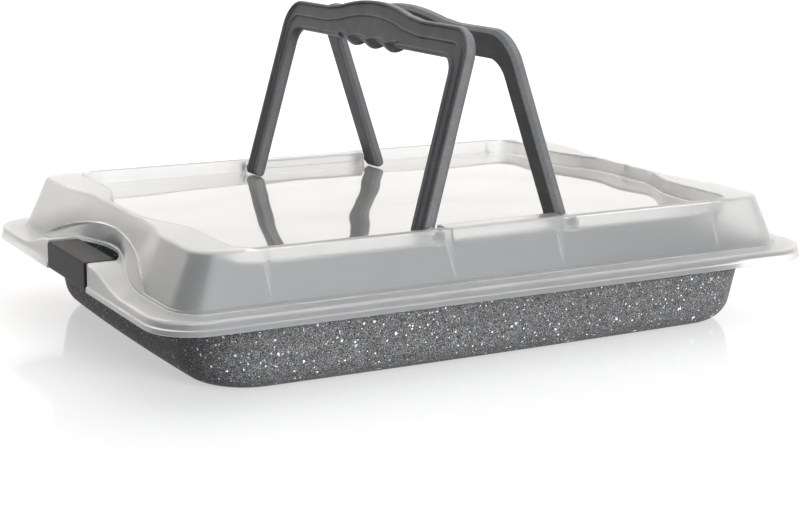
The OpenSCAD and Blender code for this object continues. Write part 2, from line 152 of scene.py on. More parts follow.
def make(name, verts, faces, scale=MM):
    points = [tuple(v) for v in np.asarray(verts) * scale]
    mesh = bpy.data.meshes.new(name)
    mesh.from_pydata(points, [], [tuple(int(i) for i in face) for face in faces])
    mesh.validate()
    obj = bpy.data.objects.new(name, mesh)
    scene.collection.objects.link(obj)
    return obj


def loft(rings):
    """A skin of quads through rings of equal length."""
    n = len(rings[0])
    faces = []
    for i in range(len(rings) - 1):
        for j in range(n):
            q = (j + 1) % n
            faces.append((i * n + j, i * n + q, (i + 1) * n + q, (i + 1) * n + j))
    return np.concatenate(rings), faces


def capped(rings):
    """A skin through rings with one face over each end."""
    verts, faces = loft(rings)
    n = len(rings[0])
    count = len(verts)
    return verts, faces + [tuple(range(n - 1, -1, -1)), tuple(range(count - n, count))]


def between(a, b, fs):
    return [a + (b - a) * f for f in fs]


def joined(parts):
    verts = []
    faces = []
    start = 0
    for v, f in parts:
        verts.append(np.asarray(v, float))
        faces.extend(tuple(i + start for i in face) for face in f)
        start += len(v)
    return np.concatenate(verts), faces


def fill(ring, counts, first, base, at):
    """Points inside a ring and the quads that fill it as a four-sided patch.

    counts gives the sides' steps and first the ring's index of the patch's first corner. In the quads the
    ring's own points count from base and the new ones from at.
    """
    n = len(ring)
    a, b = counts
    bottom = [(first + i) % n for i in range(a + 1)]
    right = [(first + a + i) % n for i in range(b + 1)]
    top = [(first + 2 * a + b - i) % n for i in range(a + 1)]
    left = [(first + 2 * a + 2 * b - i) % n for i in range(b + 1)]
    ids = np.zeros((a + 1, b + 1), int)
    extra = []
    for i in range(a + 1):
        u = i / a
        for j in range(b + 1):
            v = j / b
            if j == 0:
                ids[i, j] = base + bottom[i]
            elif j == b:
                ids[i, j] = base + top[i]
            elif i == 0:
                ids[i, j] = base + left[j]
            elif i == a:
                ids[i, j] = base + right[j]
            else:
                p = (1 - v) * ring[bottom[i]] + v * ring[top[i]]
                p = p + (1 - u) * ring[left[j]] + u * ring[right[j]]
                p = p - ((1 - u) * (1 - v) * ring[bottom[0]] + u * (1 - v) * ring[bottom[a]])
                p = p - ((1 - u) * v * ring[top[0]] + u * v * ring[top[a]])
                ids[i, j] = at + len(extra)
                extra.append(p)
    quads = []
    for i in range(a):
        for j in range(b):
            quads.append((ids[i, j], ids[i + 1, j], ids[i + 1, j + 1], ids[i, j + 1]))
    return extra, quads


def shell(rings, counts, first):
    """A closed skin through rings, with patches over its first and last ring."""
    verts, faces = loft(rings)
    last = len(verts) - len(rings[-1])
    verts = list(verts)
    for ring, base, turned in ((rings[0], 0, True), (rings[-1], last, False)):
        extra, quads = fill(ring, counts, first, base, len(verts))
        verts.extend(extra)
        faces.extend(tuple(reversed(q)) if turned else q for q in quads)
    return np.array(verts), faces


def prism(outline, axis, lo, hi):
    """A closed prism: outline is a list of 2-D points, extruded along the axis from lo to hi."""
    n = len(outline)
    verts = []
    for h in (lo, hi):
        for point in outline:
            corner = list(point)
            corner.insert(axis, h)
            verts.append(corner)
    faces = [tuple(range(n - 1, -1, -1)), tuple(range(n, 2 * n))]
    for i in range(n):
        k = (i + 1) % n
        faces.append((i, k, n + k, n + i))
    return np.array(verts, float), faces


def mirrored(part, axis):
    v, f = part
    v = np.array(v, float)
    v[:, axis] *= -1
    return v, [tuple(reversed(q)) for q in f]


def four(part):
    """A part and its mirror images across both middle planes."""
    return [part, mirrored(part, 0), mirrored(part, 1), mirrored(mirrored(part, 0), 1)]


def arc(cu, cv, r, start, sweep):
    angles = [start + sweep * i / CIRCLE_STEPS for i in range(CIRCLE_STEPS + 1)]
    return [(cu + r * math.cos(a), cv + r * math.sin(a)) for a in angles]


def circle(cu, cv, r):
    return arc(cu, cv, r, 0.0, 2 * math.pi)[:-1]


def outward(obj):
    """Turns all faces of a closed mesh to point outward."""
    bm = bmesh.new()
    bm.from_mesh(obj.data)
    bmesh.ops.recalc_face_normals(bm, faces=bm.faces)
    bm.to_mesh(obj.data)
    bm.free()


def combine(obj, part, operation):
    """Joins a closed part to obj or cuts it out."""
    tool = make("tool", *part)
    outward(tool)
    modifier = obj.modifiers.new("combine", "BOOLEAN")
    modifier.operation = operation
    modifier.solver = "MANIFOLD"
    modifier.object = tool
    bpy.context.view_layer.update()
    got = obj.evaluated_get(bpy.context.evaluated_depsgraph_get())
    mesh = bpy.data.meshes.new_from_object(got)
    obj.modifiers.clear()
    old = obj.data
    obj.data = mesh
    bpy.data.meshes.remove(old)
    gone = tool.data
    bpy.data.objects.remove(tool)
    bpy.data.meshes.remove(gone)


def shade(obj, angle):
    """Smooth shading, with sharp edges where faces meet at more than the angle in degrees."""
    obj.data.shade_smooth()
    obj.data.set_sharp_from_angle(angle=math.radians(angle))
    modifier = obj.modifiers.new("normals", "WEIGHTED_NORMAL")
    modifier.keep_sharp = True
    modifier.weight = 60


# Lid

# Steps of half an end, of a corner and of half a long side, and half the length of an end
LID_END = 44
LID_CORNER = 10
LID_SIDE = 36
LID_SPAN = RECESS_Y - RECESS_R - 12
LID_COUNTS = (2 * LID_END + 2 + LID_CORNER, 2 * LID_SIDE + LID_CORNER)
LID_FIRST = -(LID_CORNER // 2 + 1)

# Roundings: the recess floor's bend, the ridge's two edges, the dome's foot and the shelf's edge
FLOOR_BEND_IN = 1.6
FLOOR_BEND_UP = 1.4
RIDGE_EDGE = 1
DOME_EDGE = 1.6
FOOT_BEND = 1.2
SHELF_EDGE = 1.2
BENDS = [math.radians(a) for a in (15, 30, 45, 60, 75)]

# Insets of the recess floor's edge loops, from its flat patch outward, and of the shelf's side in the skirt
PATCH_IN = 5
FLOOR_LOOPS = (PATCH_IN, 2.4, FLOOR_BEND_IN)
SHELF_IN = 1

# How much the dome's corner radius loses up to its top, and the recess's for each millimetre inward
DOME_CLOSE = 3
RECESS_CLOSE = 0.8

# Places along Y where forms fade out, the arch's foot above the shelf and the ledge under the arch
WAIST_FROM = 45
WAIST_FADE = 35
BULGE_FROM = 20
BULGE_FADE = 48
POCKET_HALF = ARCH_Y * 0.86
ARCH_FOOT = 2
LEDGE = 1.7
LEDGE_DROP = 0.5
LEDGE_FROM = 70
LEDGE_FADE = 12

# The leaning wall's thickness on the level, at its foot, side and top, the drop of its inner arch, and the
# height of the hollow ridge's ceiling
WALL_FOOT = LID_WALL * 1.05
WALL_SIDE = LID_WALL * 1.04
WALL_TOP = LID_WALL * 1.03
INNER_DROP = 0.4
CEILING = RIDGE_TOP - LID_WALL - 0.2

# Profiles as inset and height: the skirt's outside above its lip, its lower edge above the lowest point, its
# inside below the shelf's under side, and the recess floor's under side below the floor's top
SKIRT_STEP = [(0.85, 0.6), (0.75, 0.3), (0.5, 0.05), (0.2, -0.1), (0, -0.4)]
SKIRT_EDGE = [(0, 0.6), (0.12, 0.2), (0.45, 0), (1.1, 0), (1.4, 0.2), (LID_WALL, 0.6)]
SHELF_BEND = [(1, 1), (1.3, 0.3), (2, 0)]
FLOOR_UNDER = [(0.6 - LID_WALL, LID_WALL * 0.6), (0.9, LID_WALL), (PATCH_IN, LID_WALL)]

# Places of the edge loops between two bends or edges
FLAT = (0.1, 0.5, 0.9, 1)
WIDE_FLAT = (0.06, 0.5, 0.94, 1)
CEILING_FLAT = (0.08, 0.5, 0.92, 1)
SHELF_FLAT = (0.08, 0.35, 0.65, 0.92, 1)
RECESS_WALL = (0.12, 0.5, 0.88)
DOME_WALL = (0.05, 0.15, 0.3, 0.45, 0.6, 0.75, 0.88, 0.96)
ABOVE_ARCH = 0.985
POCKET_WALL = (0.04, 0.15, 0.35, 0.55, 0.75, 0.92)
INNER_WALL = (0.9, 0.6, 0.3, 0.08)


def loop(a, b, r, z, dx=None, dz=None):
    """A ring with half lengths a and b and corner radius r; dx pulls its ends in and dz lifts them."""
    ys = np.linspace(-LID_SPAN, LID_SPAN, 2 * LID_END + 1)
    ex = dx(ys) if dx else 0 * ys
    ez = dz(ys) if dz else 0 * ys
    th = np.linspace(0, math.pi / 2, LID_CORNER + 1)
    fs = np.linspace(-1, 1, 2 * LID_SIDE + 1)[1:-1]
    right = np.stack([a - ex, ys, z + ez], 1)
    far_right = np.stack([a - r + r * np.cos(th), b - r + r * np.sin(th), 0 * th + z], 1)
    far = np.stack([-(a - r) * fs, 0 * fs + b, 0 * fs + z], 1)
    return np.concatenate([
        right, far_right, far, far_right[::-1] * FLIP_X, right[::-1] * FLIP_X, far_right * FLIP_X * FLIP_Y,
        far[::-1] * FLIP_Y, far_right[::-1] * FLIP_Y])


def up(z):
    """Share of the dome's height."""
    return (z - SHELF_TOP) / DOME_H


def dome_in(y, z):
    return WAIST * fade(y, WAIST_FROM, WAIST_FADE) * up(z)


def arch_z(y):
    foot = SHELF_TOP + ARCH_FOOT
    return foot + (SHELF_TOP + ARCH_H - foot) * np.maximum(0, 1 - (y / ARCH_Y) ** 2)


def hump(y):
    return HUMP_H * fade(y, HUMP_IN, HUMP_OUT - HUMP_IN)


def pocket(y):
    return POCKET * fade(y, 0, POCKET_HALF)


def ledge(y):
    return LEDGE * fade(y, LEDGE_FROM, LEDGE_FADE)


def bulge(y):
    return RECESS_BULGE * fade(y, BULGE_FROM, BULGE_FADE)


def dome_size(z, t):
    """The dome's half lengths and corner radius at a height, t inside its wall."""
    h = up(z)
    return DOME_X - DOME_LEAN_X * h - t, DOME_Y - DOME_LEAN_Y * h - t, DOME_R - DOME_CLOSE * h - t


def dome_at(f, t, start, drop=0.0, into=None):
    """Ring on the dome's wall, f of the way from the height start down to the arches, t inside the wall.

    drop lowers it and into pulls its ends further in.
    """
    z0 = start + (SHELF_TOP + ARCH_FOOT - start) * f

    def height(ys):
        return start + (arch_z(ys) - start) * f

    def dx(ys):
        extra = into(ys) if into else 0
        return DOME_LEAN_X * (up(height(ys)) - up(z0)) + dome_in(ys, height(ys)) + extra

    return loop(*dome_size(z0, t), z0 - drop, dx, lambda ys: height(ys) - z0)


def dome_ring(z, t):
    return loop(*dome_size(z, t), z, lambda ys: dome_in(ys, z))


def foot_ring(t, z):
    return loop(DOME_X - t, DOME_Y - t, DOME_R - t, z, pocket, hump)


def shelf_ring(t, z, rise):
    return loop(LID_X - t, LID_Y - t, LID_R - t, z, None, lambda ys: rise * hump(ys))


def recess_ring(t, z):
    return loop(RECESS_X - t, RECESS_Y - t, RECESS_R - RECESS_CLOSE * t, z, lambda ys: -bulge(ys))


def recess_rings():
    """Recess floor, its bend and wall, and the ridge's inner edge."""
    rings = [recess_ring(RECESS_DRAFT + t, FLOOR_TOP) for t in FLOOR_LOOPS]
    for a in BENDS:
        inset = FLOOR_BEND_IN * (1 - math.sin(a))
        rings.append(recess_ring(RECESS_DRAFT + inset, FLOOR_TOP + FLOOR_BEND_UP * (1 - math.cos(a))))
    rings.append(recess_ring(RECESS_DRAFT, FLOOR_TOP + FLOOR_BEND_UP))
    height = RIDGE_TOP - RIDGE_EDGE - FLOOR_TOP - FLOOR_BEND_UP
    for f in RECESS_WALL:
        rings.append(recess_ring(RECESS_DRAFT * (1 - f), FLOOR_TOP + FLOOR_BEND_UP + height * f))
    for a in [0] + BENDS:
        z = RIDGE_TOP - RIDGE_EDGE + RIDGE_EDGE * math.sin(a)
        rings.append(recess_ring(RIDGE_EDGE * (math.cos(a) - 1), z))
    return rings + [recess_ring(-RIDGE_EDGE, RIDGE_TOP)]


def ridge_rings():
    """Ridge and its outer edge."""
    rings = between(recess_ring(-RIDGE_EDGE, RIDGE_TOP), dome_ring(RIDGE_TOP, DOME_EDGE), WIDE_FLAT)
    for a in reversed(BENDS):
        rings.append(dome_ring(RIDGE_TOP - DOME_EDGE * (1 - math.sin(a)), DOME_EDGE * (1 - math.cos(a))))
    return rings + [dome_ring(RIDGE_TOP - DOME_EDGE, 0)]


def wall_rings():
    """Dome's outer wall down to the arches, the ledge under them, the pockets and the dome's foot."""
    start = RIDGE_TOP - DOME_EDGE
    above = dome_at(ABOVE_ARCH, 0, start)
    edge = dome_at(1, 0, start)
    recessed = dome_at(1, 0, start, LEDGE_DROP, ledge)
    brow = 0.7 * edge + 0.3 * recessed
    foot = foot_ring(0, SHELF_TOP + FOOT_BEND)
    rings = [dome_at(f, 0, start) for f in DOME_WALL]
    rings += [above, 0.8 * edge + 0.1 * above + 0.1 * brow, brow, recessed]
    rings += between(recessed, foot, POCKET_WALL) + [foot]
    for a in BENDS:
        rings.append(foot_ring(-FOOT_BEND * (1 - math.cos(a)), SHELF_TOP + FOOT_BEND * (1 - math.sin(a))))
    return rings + [foot_ring(-FOOT_BEND, SHELF_TOP)]


def shelf_rings():
    """Shelf, its edge, and the skirt down to its lower edge."""
    lip = SKIRT_BOTTOM + SKIRT_LIP
    brink = SHELF_IN + SHELF_EDGE
    rings = between(foot_ring(-FOOT_BEND, SHELF_TOP), shelf_ring(brink, SHELF_TOP, 1), SHELF_FLAT)
    for a in BENDS:
        z = SHELF_TOP - SHELF_EDGE * (1 - math.cos(a))
        rings.append(shelf_ring(brink - SHELF_EDGE * math.sin(a), z, 1))
    side = shelf_ring(SHELF_IN, SHELF_TOP - SHELF_EDGE, 1)
    step = [shelf_ring(t, lip + h, 0) for t, h in SKIRT_STEP]
    rings += [side] + between(side, step[0], FLAT) + step[1:]
    return rings + [shelf_ring(t, SKIRT_BOTTOM + h, 0) for t, h in SKIRT_EDGE]


def inner_rings():
    """Inside of the skirt, under side of the shelf, inside of the dome and under side of the recess."""
    w = LID_WALL
    foot = foot_ring(WALL_FOOT, SHELF_UNDER)
    arch = dome_at(1, WALL_FOOT, CEILING, INNER_DROP)
    high = dome_ring(CEILING, WALL_TOP)
    low = recess_ring(-w, CEILING)
    wall = recess_ring(RECESS_DRAFT - w, FLOOR_TOP + 0.8)
    rings = [shelf_ring(w + 0.2, SKIRT_BOTTOM + SKIRT_LIP, 0)]
    rings += [shelf_ring(w + t, SHELF_UNDER - h, 1) for t, h in SHELF_BEND]
    rings += between(rings[-1], foot, FLAT) + between(foot, arch, FLAT)
    rings += [dome_at(f, WALL_SIDE, CEILING) for f in INNER_WALL]
    rings += [high] + between(high, low, CEILING_FLAT) + between(low, wall, FLAT)
    return rings + [recess_ring(RECESS_DRAFT + t, FLOOR_TOP - h) for t, h in FLOOR_UNDER]


# Ledge at the foot of a stop's face: distance out of the face and height above its foot
STOP_LEDGE = [(0, 4.1), (0.25, 3.65), (0.8, 3.5), (0.8, 0)]

# How far a stop reaches below the floor's top and into the ridge, and its hollow into the ridge
STOP_SINK = 0.2
STOP_INTO = 1
HOLLOW_INTO = 1.8

# Half the width of a boss's foot, and how far a boss reaches into the ridge and below the floor's top
BOSS_FOOT = 0.35 * BOSS_D
BOSS_INTO = 0.6
BOSS_SINK = 0.5

# Notch: depth of its rear edge's bow, how far it stays in front of the pocket's wall, and how far it
# reaches beyond the lid's edge; then the play behind a pin
NOTCH_SAG = 10
NOTCH_REAR = 1.2
NOTCH_PAST = 5
PIN_END_PLAY = 0.4

# How far cuts reach beyond what they cut in height
PAST = 1


def stops():
    """Widened ridge with its ledge, between the handle feet."""
    face = RECESS_Y - STOP_W
    foot = FLOOR_TOP - STOP_SINK
    rear = RECESS_Y + STOP_INTO
    outline = [(rear, RIDGE_TOP)]
    for a in np.linspace(0, math.pi / 2, 7):
        y = face + RIDGE_EDGE - RIDGE_EDGE * math.sin(a)
        outline.append((y, RIDGE_TOP - RIDGE_EDGE + RIDGE_EDGE * math.cos(a)))
    outline += [(face - d, foot + h) for d, h in STOP_LEDGE] + [(rear, foot)]
    stop = prism(outline, 0, -STOP_X, STOP_X)
    return joined([stop, mirrored(stop, 1)])


def hollows():
    """The stops' insides, open to the hollow ridge and downward."""
    w = LID_WALL
    low = FLOOR_TOP - w - PAST
    top = RIDGE_TOP - w
    y0 = RECESS_Y - STOP_W + w
    y1 = RECESS_Y + HOLLOW_INTO
    hollow = prism([(y0, low), (y1, low), (y1, top), (y0, top)], 0, w - STOP_X, STOP_X - w)
    return joined([hollow, mirrored(hollow, 1)])


def boss():
    """Hinge boss on its foot, reaching into the ridge."""
    start = LEG_Y + BOSS_GAP
    length = RIDGE_Y - LEG_Y - BOSS_GAP + BOSS_INTO
    low = PIVOT_Z - PIVOT_H - BOSS_SINK
    turn = math.asin(BOSS_FOOT / (BOSS_D / 2))
    outline = arc(PIVOT_X, PIVOT_Z, BOSS_D / 2, -math.pi / 2 + turn, 2 * math.pi - 2 * turn)
    outline += [(PIVOT_X - BOSS_FOOT, low), (PIVOT_X + BOSS_FOOT, low)]
    return prism(outline, 1, start, start + length)


def web_outline(inner, outer):
    """A web's outline: from the recess's wall over the ridge, with the outer wall's points given."""
    w = LID_WALL / 2
    lower = [(inner - 2 * RECESS_DRAFT, FLOOR_TOP - w), (inner - RECESS_DRAFT, FLOOR_TOP + 2)]
    return [(inner, RIDGE_TOP - w)] + outer + lower


def lid_additions():
    """Hinge bosses, and webs in the hollow ridge."""
    w = LID_WALL / 2
    outer = RIDGE_Y - w
    low = RIDGE_TOP - LID_WALL - WEB_H
    foot = outer + (RIDGE_TOP - low) * DOME_LEAN_Y / DOME_H
    side_web = web_outline(RECESS_Y + w, [(outer, RIDGE_TOP - w), (foot, low), (foot - 0.8, low)])
    outer = RIDGE_X - WAIST - w
    low = SHELF_TOP + ARCH_H
    foot = outer + (RIDGE_TOP - low) * (DOME_LEAN_X + WAIST) / DOME_H
    end_web = web_outline(RECESS_X + RECESS_BULGE + w, [(outer, RIDGE_TOP - w), (foot, low)])
    end_web = prism(end_web, 1, -WEB_T / 2, WEB_T / 2)
    parts = [end_web, mirrored(end_web, 0)] + four(boss())
    for x in (WEB_OUTER, WEB_INNER):
        parts += four(prism(side_web, 0, x - WEB_T / 2, x + WEB_T / 2))
    return joined(parts)


def lid_cuts():
    """Notches for the sleeves and bores for the handles' pins."""
    half = GRIP_HALF + NOTCH_GAP
    r = (half * half + NOTCH_SAG * NOTCH_SAG) / (2 * NOTCH_SAG)
    turn = math.asin(half / r)
    outer = LID_X + NOTCH_PAST
    outline = [(outer, half)]
    outline += arc(DOME_X - POCKET + NOTCH_REAR + r, 0, r, math.pi - turn, 2 * turn)
    outline += [(outer, -half)]
    notch = prism(outline, 2, SKIRT_BOTTOM - PAST, GRIP_TOP + PAST)
    bore = prism(circle(PIVOT_X, PIVOT_Z, PIN_R + PIN_PLAY), 1, LEG_Y, LEG_Y + PIN_LEN + PIN_END_PLAY)
    return joined([notch, mirrored(notch, 0)] + four(bore))


def build_lid():
    rings = recess_rings() + ridge_rings() + wall_rings() + shelf_rings() + inner_rings()
    lid = make("lid_moulding", *shell(rings, LID_COUNTS, LID_FIRST))
    outward(lid)
    combine(lid, stops(), "UNION")
    combine(lid, hollows(), "DIFFERENCE")
    combine(lid, lid_additions(), "UNION")
    combine(lid, lid_cuts(), "DIFFERENCE")
    shade(lid, 32)
    return lid


# Pan

# Steps of half a side and of a corner
PAN_SIDE = 24
PAN_BEND = 14

# Radii of the rim's edge outside and inside, and the size of the base's flat patch beside its bend
RIM_EDGE = 1.1
RIM_BACK = 0.5
PATCH_SHARE = 0.985

# Rounding of the turned-down edge, inward and upward
LIP_IN = 0.2
LIP_UP = 0.25

# Places of the edge loops on the wall and on the rim
PAN_WALL_STEPS = (0.05, 0.35, 0.65, 0.95)
RIM_STEPS = (0.05, 0.5, 0.95)


def pan_loop(a, b, r, z, bow):
    f = np.linspace(-1, 1, 2 * PAN_SIDE + 1)[1:-1]
    out = bow * (1 - f * f)
    th = np.linspace(0, math.pi / 2, PAN_BEND + 1)
    c = np.stack([a - r + r * np.cos(th), b - r + r * np.sin(th), 0 * th + z], 1)
    right = np.stack([a + out, (b - r) * f, 0 * f + z], 1)
    far = np.stack([-(a - r) * f, b + out, 0 * f + z], 1)
    return np.concatenate([
        right, c, far, c[::-1] * FLIP_X, right[::-1] * FLIP_X, c * FLIP_X * FLIP_Y, far[::-1] * FLIP_Y,
        c[::-1] * FLIP_Y])


def build_pan():
    def ring(inset, z):
        return pan_loop(PAN_X - inset, PAN_Y - inset, PAN_CORNER - inset, z, PAN_BOW)

    def rim(inset, z):
        return pan_loop(RIM_X - inset, RIM_Y - inset, RIM_R - inset, z, 0)

    def wall_in(z):
        return math.tan(PAN_DRAFT) * (PAN_H - z)

    def turns(start, end, count):
        return [(math.sin(a), math.cos(a)) for a in np.linspace(start, end, count)]

    w = PAN_WALL
    quarter = math.pi / 2
    base_c = wall_in(PAN_BASE_R * (1 - math.sin(PAN_DRAFT))) + PAN_BASE_R * math.cos(PAN_DRAFT)
    bend_z = PAN_H - RIM_BEND - w
    bend_c = wall_in(bend_z + RIM_BEND * math.sin(PAN_DRAFT)) - RIM_BEND * math.cos(PAN_DRAFT)

    def sheet(t):
        """Base's bend, wall and rim's bend, t inside the outer face."""
        low_r = PAN_BASE_R - t
        high_r = RIM_BEND + t
        low_turns = turns(0, quarter - PAN_DRAFT, 11)
        high_turns = turns(PAN_DRAFT, quarter, 7)
        low = [ring(base_c - low_r * s, PAN_BASE_R - low_r * c) for s, c in low_turns]
        high = [ring(bend_c + high_r * c, bend_z + high_r * s) for s, c in high_turns]
        return low + between(low[-1], high[0], PAN_WALL_STEPS) + high

    low = PAN_H - RIM_LIP
    back_z = PAN_H - w - RIM_BACK
    inner = sheet(w)
    outer = sheet(0)
    patch = np.array([PATCH_SHARE, PATCH_SHARE, 1])
    edge = [rim(RIM_EDGE * (1 - s), PAN_H - RIM_EDGE * (1 - c)) for s, c in turns(0, quarter, 6)]
    lip = [rim(0, low + LIP_UP), rim(LIP_IN, low), rim(w - LIP_IN, low), rim(w, low + LIP_UP)]
    back = [rim(w + RIM_BACK * (1 - c), back_z + RIM_BACK * s) for s, c in turns(0, quarter, 5)]
    rings = [inner[0] * patch] + inner + between(inner[-1], edge[0], RIM_STEPS) + edge + lip + back
    rings += between(back[-1], outer[-1], RIM_STEPS) + outer[::-1] + [outer[0] * patch]
    counts = (2 * PAN_SIDE + PAN_BEND, 2 * PAN_SIDE + PAN_BEND)
    pan = make("pan_pressing", *shell(rings, counts, -(PAN_BEND // 2 + 1)))
    outward(pan)
    shade(pan, 40)
    return pan


# Grip sleeves

# Distances of the sections from the sleeve's end, and places of those in its middle
GRIP_ENDS = (0.0, 0.12, 0.4, 0.9, 1.5, 2.2, 3.0, 4.2, 6.0, 10.0)
GRIP_MIDDLE = [-12, 0, 12]

# Radii of its end's edges over and under, in front and at the back, and of the section's corners
GRIP_END_R = 3
GRIP_FRONT_R = 1.5
GRIP_BACK_R = 6
GRIP_CORNER = 1.5
GRIP_CORNER_STEPS = 5
GRIP_CHAMFER = 0.25


def drawn_back(r, e):
    """How far an edge rounded with radius r draws back at the distance e from the end."""
    return r - math.sqrt(max(0, r * r - (r - min(e, r)) ** 2))


def build_grip(side):
    r = GRIP_CORNER
    z1 = PAN_H + GRIP_FIT
    z0 = PAN_H - PAN_WALL - GRIP_FIT
    z2 = PAN_H - RIM_LIP - GRIP_FIT
    deep = RIM_X + GRIP_FIT
    lip = RIM_X - PAN_WALL - 0.5 - GRIP_FIT
    near = [-GRIP_HALF + e for e in GRIP_ENDS]
    sections = []
    for y in near + GRIP_MIDDLE + [-y for y in reversed(near)]:
        e = GRIP_HALF - abs(y)
        top = GRIP_TOP - drawn_back(GRIP_END_R, e)
        low = GRIP_LOW + drawn_back(GRIP_END_R, e)
        front = LID_X - drawn_back(GRIP_FRONT_R, e)
        back = LID_X - GRIP_DEPTH + drawn_back(GRIP_BACK_R, e)
        corners = ((back + r, top - r, 180), (front - r, top - r, 90), (front - r, low + r, 0),
                   (back + r, low + r, -90))
        points = []
        for cx, cz, start in corners:
            for k in range(GRIP_CORNER_STEPS + 1):
                a = math.radians(start - 90 * k / GRIP_CORNER_STEPS)
                points.append((cx + r * math.cos(a), cz + r * math.sin(a)))
        # slot that the pan's rim sits in
        points += [(back, z0 - GRIP_CHAMFER), (back + GRIP_CHAMFER, z0), (lip, z0), (lip, z2), (deep, z2)]
        points += [(deep, z1), (back + GRIP_CHAMFER, z1), (back, z1 + GRIP_CHAMFER)]
        sections.append(np.array([(side * x, y, z) for x, z in points]))
    obj = make("grip_sleeve_left" if side < 0 else "grip_sleeve_right", *capped(sections))
    outward(obj)
    shade(obj, 35)
    return obj


# Handles

# Profiles: distance in from an edge, and X or the depth below the outer face
SIDE = [(2.2, 3.4), (1.65, 3.3), (1.35, 3.0), (0.78, 2.0), (0.3, 1.15), (0.08, 0.8), (0.0, 0.6),
        (0.04, 0.35), (0.16, -0.4), (0.4, -1.9), (0.5, -2.5), (0.68, -2.95), (0.95, -3.28), (1.35, -3.4)]
OUTER_RIM = [(1.9, 0.0), (2.1, 0.1), (2.3, 0.45), (2.45, 0.95), (2.65, 1.28), (2.95, 1.4)]
RIB = [(-1.15, 1.4), (-0.85, 1.33), (-0.6, 1.05), (-0.38, 0.62), (-0.18, 0.44), (0.0, 0.4), (0.18, 0.44),
       (0.38, 0.62), (0.6, 1.05), (0.85, 1.33), (1.15, 1.4)]
INNER_RIM = [(1.0, 1.4), (0.65, 1.28), (0.42, 0.95), (0.27, 0.45), (0.1, 0.1), (-0.1, 0.02), (-0.3, 0.0)]

# Rib's distance from the edge on the legs and on the bar, and the heights between which it changes
RIB_LEG = 6.8
RIB_BAR = 9.6
RIB_FROM = 85
RIB_FADE = 28

# Foot: angles of its sections, and the power by which its thickness falls with them
FOOT_ANGLES = (80, 62, 44, 26, 12)
FOOT_THIN = 0.45

# Places of the sections along the leg; up to the share the inner edge keeps level with the outer one
LEG_PLACES = (0, 0.008, 0.014, 0.02, 0.026, 0.034, 0.06, 0.12, 0.25, 0.4, 0.55, 0.7, 0.85, 0.95)
LEVEL_SHARE = 0.03

# Steps of the corner, of the bar beside the lobes and of half the lobes
BEND_STEPS = 16
BAR_STEPS = 22
LOBE_STEPS = 42

# Two sections make the step where the lobes start: one just outside and one just inside
LOBES_GAP = 0.25
LOBES_INTO = 0.01

# Share of its half length over which the bar's arch runs out, and the lobes' least depth
ARCH_FADE = 0.34
CUSP_DEPTH = 0.8

# Finger scoops between the lobes, on the outer face: height, radius, and the side's roundness there
SCOOP_UP = 2.6
SCOOP_R = 37.6
SCOOP_DRAFT = 0.3

# Inner rim's width without and with scoops, the rear face's inset, and the pins' chamfer
BRIM = 2.0
SCOOP_BRIM = 0.9
REAR_IN = 2.6
PIN_TIP = 0.4


def rise(y):
    """Height of the bar's arched top above its ends."""
    f = np.abs(y) / ARCH_HALF
    if f <= ARCH_END:
        return GRIP_RISE * (1 - f * f)
    return GRIP_RISE * (1 - ARCH_END * ARCH_END) * float(1 - smooth((f - ARCH_END) / ARCH_FADE))


def across(y):
    """Place across a lobe, from -1 to 1."""
    u = abs(y) / LOBE_W + 0.5
    return 2 * (u - math.floor(u)) - 1


def half_stations():
    """Half a handle from its foot up: outer point, inner point, foot angle, and place across the grip."""
    inner_y = LEG_Y - LEG_W
    slope = math.atan(TAPER)
    cz_o = BAIL_L - BAIL_R
    cz_i = BAR_L - BAIL_INNER_R
    cy_o = LEG_Y - TAPER * cz_o - BAIL_R / math.cos(slope)
    cy_i = inner_y - TAPER * cz_i - BAIL_INNER_R / math.cos(slope)
    start = LOBES_Y + LOBES_GAP
    rows = []
    for degrees in FOOT_ANGLES:
        a = math.radians(degrees)
        h = -HALF_T * math.sin(a)
        rows.append(((LEG_Y - TAPER * h, h), (inner_y - TAPER * h, h), a, None))
    for f in LEG_PLACES:
        ho = f * cz_o
        hi = f * (cz_i if f > LEVEL_SHARE else cz_o)
        rows.append(((LEG_Y - TAPER * ho, ho), (inner_y - TAPER * hi, hi), 0, None))
    for k in range(BEND_STEPS + 1):
        a = slope + (math.pi / 2 - slope) * k / BEND_STEPS
        outer = (cy_o + BAIL_R * math.cos(a), cz_o + BAIL_R * math.sin(a))
        inner = (cy_i + BAIL_INNER_R * math.cos(a), cz_i + BAIL_INNER_R * math.sin(a))
        rows.append((outer, inner, 0, None))
    for k in range(1, BAR_STEPS):
        yo = cy_o + (start - cy_o) * k / BAR_STEPS
        yi = cy_i + (start - cy_i) * k / BAR_STEPS
        rows.append(((yo, BAIL_L + rise(yo)), (yi, BAR_L), 0, None))
    for y in [start] + list(np.linspace(LOBES_Y - LOBES_INTO, 0, LOBE_STEPS + 1)):
        rows.append(((y, BAIL_L + rise(y)), (y, BAR_L), 0, y))
    return rows


def normals(points):
    p = np.array(points, float)
    t = np.zeros_like(p)
    t[1:-1] = p[2:] - p[:-2]
    t[0] = p[1] - p[0]
    t[-1] = p[-1] - p[-2]
    t /= np.linalg.norm(t, axis=1)[:, None]
    return np.stack([-t[:, 1], t[:, 0]], 1)


